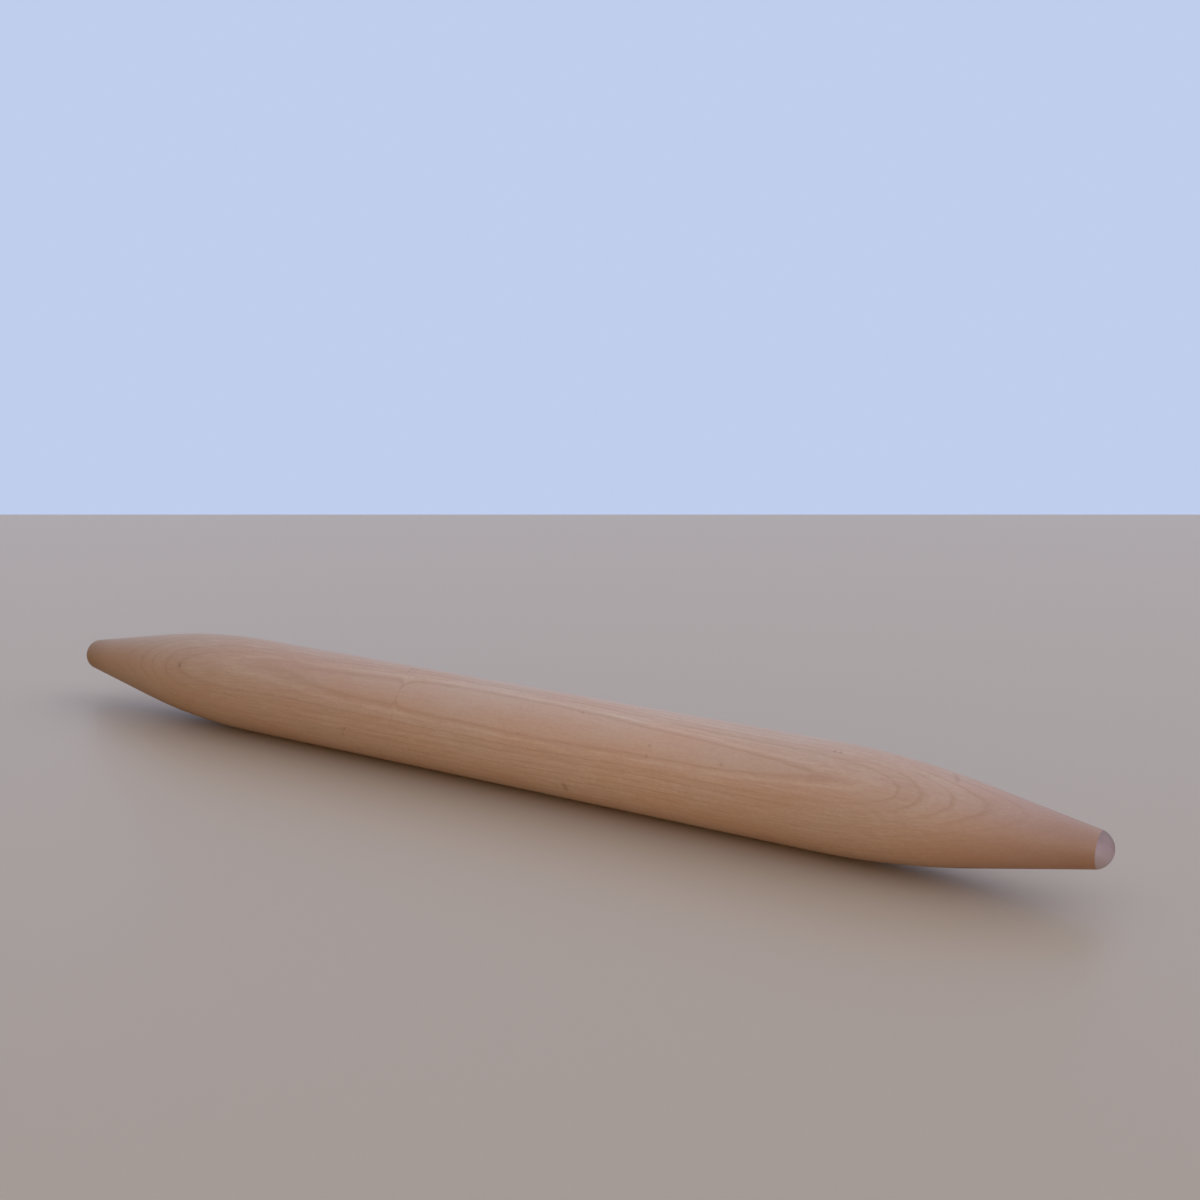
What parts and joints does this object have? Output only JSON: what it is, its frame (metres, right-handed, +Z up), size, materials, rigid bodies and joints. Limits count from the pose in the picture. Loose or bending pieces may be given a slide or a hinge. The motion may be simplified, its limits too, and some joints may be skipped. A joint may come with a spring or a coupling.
{
  "type": "rolling pin",
  "caption": "Slim wooden rolling pin without handles, straight along the middle and tapering smoothly to a small domed end each side.",
  "frame": {"origin": "on the surface that the pin lies on, under the middle of its length", "axes": "+X along the pin's axis, +Z up"},
  "size_m": [0.457, 0.0384, 0.0385],
  "materials": {
    "maple": "sanded bare hardwood, satin, with flat-sawn grain"
  },
  "bodies": {
    "root": {"turned_body": "maple"}
  },
  "joints": []
}
